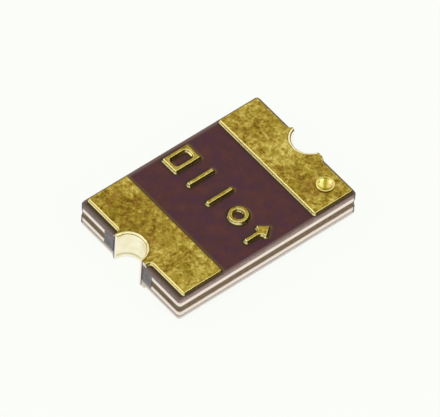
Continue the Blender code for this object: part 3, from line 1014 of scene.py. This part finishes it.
def make_laminate():
    """Make the sawn edge of the resin laminate."""
    bench = Finish("resin_laminate", specular=0.4)
    cloth = bench.noise(0.07 * MM, detail=3.0, where=bench.mapped(scale=(1, 1, 2.5)))
    side = bench.ramp(cloth, (0.32, 135, 111, 106), (0.5, 154, 129, 122), (0.68, 173, 147, 138))
    end = bench.ramp(cloth, (0.32, 98, 84, 84), (0.5, 114, 98, 96), (0.68, 132, 116, 112))
    shade = bench.mix(bench.end_on(), side, end)
    # Painted light from the white paper, paler towards the bottom of the lower laminate.
    paper_light = bench.sum(
        bench.spread(bench.height(), 0.25 * MM, 0.20 * MM, 0.0, 0.35),
        bench.spread(bench.height(), 0.155 * MM, 0.115 * MM, 0.0, 0.65))
    shade = bench.mix(paper_light, shade, PAPER_LIT)
    shade = bench.mix(smear_over_foil(bench), shade, SMEARED)
    # Painted shade at two opposite corners.
    shade = bench.mix(shaded_corners(bench), shade, CORNER_SHADE)
    bench.relief(cloth, 0.004 * MM)
    return bench.finish(Base_Color=shade, Roughness=0.5)


LAMINATE = make_laminate()
for layer_name in ("upper_insulation", "lower_insulation"):
    nodes[layer_name].data.materials[0] = LAMINATE
    print("dressed", layer_name)

# %% [markdown]
# ## The foils and the core
#
# The two foils show as bright, slightly pink lines. The saw smears soft
# nickel into a satin without a clear mirror image, so a pale coat with
# strong highlights comes closer to it than a metallic finish. The core
# between the foils is polymer filled with carbon: matt, olive brown, and
# darker low on the end faces. It has its share of the smeared metal too.

# %% The foils and the core
SHADED_CORE = linear(70, 56, 46)


def make_foil():
    """Make the smeared edge of the nickel foil."""
    bench = Finish("nickel_foil", specular=1.0)
    smear = bench.noise(0.12 * MM, detail=3.0, where=bench.mapped(scale=(1, 1, 4)))
    shade = bench.ramp(smear, (0.3, 252, 228, 210), (0.5, 255, 242, 224), (0.7, 255, 250, 238))
    # Painted shade at two opposite corners.
    shade = bench.mix(shaded_corners(bench), shade, CORNER_SHADE)
    bench.relief(smear, 0.002 * MM)
    return bench.finish(Base_Color=shade, Roughness=bench.spread(smear, 0.3, 0.7, 0.3, 0.45))


def make_core():
    """Make the sawn edge of the filled polymer."""
    bench = Finish("filled_polymer", specular=0.3)
    grain = bench.noise(0.05 * MM, detail=3.0, where=bench.mapped(scale=(0.6, 0.6, 2)))
    shade = bench.ramp(grain, (0.3, 99, 80, 60), (0.5, 122, 101, 78), (0.7, 146, 125, 98))
    low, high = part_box("ptc_core")
    low_on_ends = bench.product(
        bench.spread(bench.height(), low.z + 0.09 * MM, low.z + 0.06 * MM, 0.0, 0.5),
        bench.end_on())
    shade = bench.mix(low_on_ends, shade, SHADED_CORE)
    smear = bench.sum(
        bench.spread(bench.height(), low.z + 0.015 * MM, low.z, 0.0, 0.8),
        bench.spread(bench.height(), high.z - 0.05 * MM, high.z - 0.01 * MM, 0.0, 0.9))
    shade = bench.mix(smear, shade, SMEARED)
    # Painted shade at two opposite corners.
    shade = bench.mix(shaded_corners(bench), shade, CORNER_SHADE)
    bench.relief(grain, 0.006 * MM)
    return bench.finish(Base_Color=shade, Roughness=0.7)


FOIL = make_foil()
for layer_name in ("upper_electrode_foil", "lower_electrode_foil"):
    nodes[layer_name].data.materials[0] = FOIL
nodes["ptc_core"].data.materials[0] = make_core()
print("dressed the foils and the core")

# %% [markdown]
# ## The isolation plugs
#
# Round each half hole the foils and the core were drilled away, and filled
# with a harder, bluish grey resin. It keeps the plated wall off both foils.
# It is darkest along the plating, where light is lost between the two. The
# darkness is part of the finish, by the distance from the hole's middle,
# because the gap itself is far too thin to cast a shadow.

# %% The isolation plugs
PLUG_SHADOW = linear(54, 46, 56)


def make_plug(name, middle, inner):
    """Make the bluish resin round a half hole, dark along its plating."""
    bench = Finish(name, specular=0.4)
    grain = bench.noise(0.09 * MM, detail=2.0)
    shade = bench.ramp(grain, (0.3, 84, 78, 80), (0.5, 101, 95, 95), (0.7, 118, 114, 120))
    shadow = bench.spread(bench.from_axis(*middle), inner + 0.055 * MM, inner + 0.02 * MM, 0.0, 0.95)
    shade = bench.mix(shadow, shade, PLUG_SHADOW)
    bench.relief(grain, 0.004 * MM)
    return bench.finish(Base_Color=shade, Roughness=0.42)


for end_name in ("near", "far"):
    plug = nodes[end_name + "_isolation_plug"]
    plug.data.materials[0] = make_plug(plug.name + "_resin", *plated_circle(end_name))
    print("dressed", plug.name)
